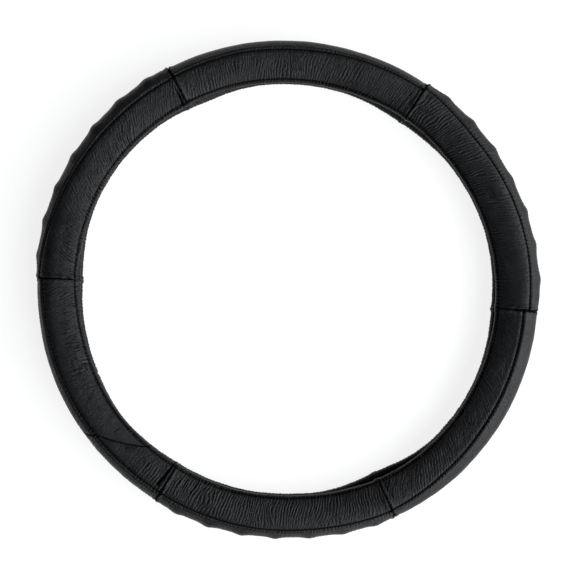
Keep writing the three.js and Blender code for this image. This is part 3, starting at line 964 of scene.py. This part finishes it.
def noise_node(nodes, links, vector, scale, detail=3.0, roughness=0.55):
    node = nodes.new("ShaderNodeTexNoise")
    node.inputs["Scale"].default_value = scale
    node.inputs["Detail"].default_value = detail
    node.inputs["Roughness"].default_value = roughness
    links.new(vector, node.inputs["Vector"])
    return node.outputs["Fac"]


def ramp_node(nodes, links, value, stops):
    ramp = nodes.new("ShaderNodeValToRGB")
    elements = ramp.color_ramp.elements
    while len(elements) < len(stops):
        elements.new(0.5)
    for element, (place, colour) in zip(elements, stops):
        element.position = place
        element.color = (*colour, 1)
    links.new(value, ramp.inputs["Fac"])
    return ramp.outputs["Color"]


def bump_node(nodes, links, height, distance, strength, before=None):
    bump = nodes.new("ShaderNodeBump")
    bump.inputs["Distance"].default_value = distance
    bump.inputs["Strength"].default_value = strength
    links.new(height, bump.inputs["Height"])
    if before is not None:
        links.new(before, bump.inputs["Normal"])
    return bump.outputs["Normal"]


def leather_material():
    """Black leather with fine creases, grain and pores. Grooves and creases get painted shade: their
    colour is darkened and their specular level cut, and they are rougher."""
    material, nodes, links, shader = new_material("black_leather")
    place = object_place(nodes)
    course = scaled(nodes, links, course_map(nodes), (720, 260, 1))
    fine_creases = noise_node(nodes, links, course, scale=1.0, detail=2.0)
    ridge = nodes.new("ShaderNodeMath")
    ridge.operation = "PINGPONG"
    ridge.inputs[1].default_value = 0.5
    links.new(fine_creases, ridge.inputs[0])
    grain = nodes.new("ShaderNodeTexVoronoi")
    grain.feature = "SMOOTH_F1"
    grain.inputs["Scale"].default_value = 1500
    links.new(place, grain.inputs["Vector"])
    cells = grain.outputs["Distance"]
    patches = noise_node(nodes, links, place, scale=45, detail=4.0)
    pores = noise_node(nodes, links, place, scale=900)
    normal = bump_node(nodes, links, ridge.outputs[0], distance=0.0010, strength=0.9)
    normal = bump_node(nodes, links, cells, distance=0.00012, strength=0.5, before=normal)
    normal = bump_node(nodes, links, pores, distance=0.00012, strength=0.6, before=normal)
    links.new(normal, shader.inputs["Normal"])
    # Painted shade: this attribute darkens grooves and creases towards near-black and dulls them.
    crevice_shade = nodes.new("ShaderNodeAttribute")
    crevice_shade.attribute_name = "crevice_shade"
    depth = crevice_shade.outputs["Fac"]
    colour = ramp_node(nodes, links, patches, LEATHER_COLOURS)
    shade = mix_node(nodes, links, depth, colour, CREVICE_SHADE_COLOUR, "RGBA")
    links.new(shade, shader.inputs["Base Color"])
    rough = range_node(nodes, links, patches, LEATHER_ROUGHNESS)
    links.new(mix_node(nodes, links, depth, rough, 1.0), shader.inputs["Roughness"])
    # The painted shade also takes the specular gloss out of grooves and creases.
    shaded_gloss = range_node(nodes, links, depth, (LEATHER_SPECULAR, 0))
    links.new(shaded_gloss, shader.inputs["Specular IOR Level"])
    return material


def rubber_material():
    material, nodes, links, shader = new_material("moulded_rubber")
    place = object_place(nodes)
    cloud = noise_node(nodes, links, place, scale=60, detail=4.0)
    speckle = noise_node(nodes, links, place, scale=1400, detail=2.0)
    links.new(ramp_node(nodes, links, cloud, RUBBER_COLOURS), shader.inputs["Base Color"])
    normal = bump_node(nodes, links, speckle, distance=0.0002, strength=0.5)
    links.new(normal, shader.inputs["Normal"])
    shader.inputs["Roughness"].default_value = 0.7
    return material


def foam_material():
    material, nodes, links, shader = new_material("open_cell_foam")
    cells = nodes.new("ShaderNodeTexVoronoi")
    cells.inputs["Scale"].default_value = 1100
    links.new(object_place(nodes), cells.inputs["Vector"])
    walls = cells.outputs["Distance"]
    links.new(ramp_node(nodes, links, walls, FOAM_COLOURS), shader.inputs["Base Color"])
    normal = bump_node(nodes, links, walls, distance=0.0004, strength=0.8)
    links.new(normal, shader.inputs["Normal"])
    shader.inputs["Roughness"].default_value = 0.95
    return material


def thread_material():
    """Twisted thread, whose strands slant across each stitch."""
    material, nodes, links, shader = new_material("black_thread")
    twist = nodes.new("ShaderNodeTexWave")
    twist.bands_direction = "DIAGONAL"
    twist.inputs["Scale"].default_value = 2.0
    links.new(course_map(nodes), twist.inputs["Vector"])
    strands = twist.outputs["Fac"]
    links.new(ramp_node(nodes, links, strands, THREAD_COLOURS), shader.inputs["Base Color"])
    normal = bump_node(nodes, links, strands, distance=0.00015, strength=0.7)
    links.new(normal, shader.inputs["Normal"])
    shader.inputs["Roughness"].default_value = 0.6
    shader.inputs["Specular IOR Level"].default_value = 0.12
    return material


# Stage, light and camera

def camera_rays(nodes):
    return nodes.new("ShaderNodeLightPath").outputs["Is Camera Ray"]


def reflection_rays(nodes, links):
    rays = nodes.new("ShaderNodeLightPath").outputs
    return math_node(nodes, links, "MAXIMUM", rays["Is Glossy Ray"], rays["Is Transmission Ray"])


def seen_rays(nodes, links):
    """1 for what is seen directly or in a reflection, 0 for the light that falls on the object."""
    return math_node(nodes, links, "MAXIMUM", reflection_rays(nodes, links), camera_rays(nodes))


def floor_material():
    """A pale floor that takes shadows. Where it is seen it also glows, all white far away."""
    material, nodes, links, shader = new_material("pale_floor")
    shader.inputs["Base Color"].default_value = FLOOR_COLOUR
    shader.inputs["Roughness"].default_value = 0.9
    shader.inputs["Specular IOR Level"].default_value = 0.1
    away = nodes.new("ShaderNodeVectorMath")
    away.operation = "LENGTH"
    links.new(object_place(nodes), away.inputs[0])
    lift = range_node(nodes, links, away.outputs["Value"], (FLOOR_LIFT, 1.0), FLOOR_NEAR, FLOOR_FAR)
    glow = nodes.new("ShaderNodeEmission")
    strength = math_node(nodes, links, "MULTIPLY", seen_rays(nodes, links), lift)
    links.new(strength, glow.inputs["Strength"])
    both = nodes.new("ShaderNodeAddShader")
    links.new(shader.outputs["BSDF"], both.inputs[0])
    links.new(glow.outputs["Emission"], both.inputs[1])
    links.new(both.outputs["Shader"], nodes["Material Output"].inputs["Surface"])
    return material


def floor():
    height = cad_box[0][2] - FLOOR_GAP
    corners = [(-1, -1), (1, -1), (1, 1), (-1, 1)]
    mesh = bpy.data.meshes.new("floor")
    mesh.from_pydata([(x * FLOOR_HALF, y * FLOOR_HALF, height) for x, y in corners], [], [(0, 1, 2, 3)])
    mesh.materials.append(floor_material())
    plane = bpy.data.objects.new("floor", mesh)
    bpy.context.scene.collection.objects.link(plane)


def studio():
    """A white room as it is seen, with low white walls as they are reflected, and almost dark for
    the light that falls on the object, which comes from the lamps."""
    world = bpy.data.worlds.new("studio")
    bpy.context.scene.world = world
    world.use_nodes = True
    nodes, links = world.node_tree.nodes, world.node_tree.links
    background = nodes["Background"]
    background.inputs["Color"].default_value = (1, 1, 1, 1)
    direction = nodes.new("ShaderNodeSeparateXYZ")
    links.new(nodes.new("ShaderNodeTexCoord").outputs["Generated"], direction.inputs["Vector"])
    walls = range_node(nodes, links, direction.outputs["Z"], (0.0, 1.0), WALL_TOP, 0)
    reflected = math_node(nodes, links, "MULTIPLY", reflection_rays(nodes, links), walls)
    seen = math_node(nodes, links, "MAXIMUM", camera_rays(nodes), reflected)
    strength = range_node(nodes, links, seen, (WORLD_LEVEL, 1.0))
    links.new(strength, background.inputs["Strength"])


def lamp(name, place, size, power, colour):
    """A round lamp that aims at the origin."""
    data = bpy.data.lights.new(name, "AREA")
    data.color = colour
    data.shape = "DISK"
    data.size = size
    data.energy = power
    light = bpy.data.objects.new(name, data)
    light.location = place
    x, y, z = place
    light.rotation_euler = (math.atan2(math.hypot(x, y), z), 0, math.atan2(x, -y))
    bpy.context.scene.collection.objects.link(light)


def camera():
    """Looks straight down at the front face."""
    data = bpy.data.cameras.new("camera")
    data.sensor_width = CAMERA_SENSOR
    data.lens = CAMERA_SENSOR * CAMERA_HEIGHT / VIEW_WIDTH_AT_ORIGIN
    view = bpy.data.objects.new("camera", data)
    view.location = (*CAMERA_ASIDE, CAMERA_HEIGHT)
    bpy.context.scene.collection.objects.link(view)
    bpy.context.scene.camera = view


bpy.context.scene.view_settings.view_transform = "Standard"
camera()
for numbers in LAMPS:
    lamp(*numbers)
floor()
studio()

leather = leather_material()
thread = thread_material()
foam = foam_material()
all_leather(leather)
rubber_core(rubber_material())
for segment in NAMES:
    if "grips" in SEGMENTS[segment]:
        grip_pad(segment, foam)
    seam_stitches(segment, thread)
    joint_stitches(segment, thread)
splice_stitches(thread)
for face_side in (1, -1):
    hem_stitches(face_side, thread)
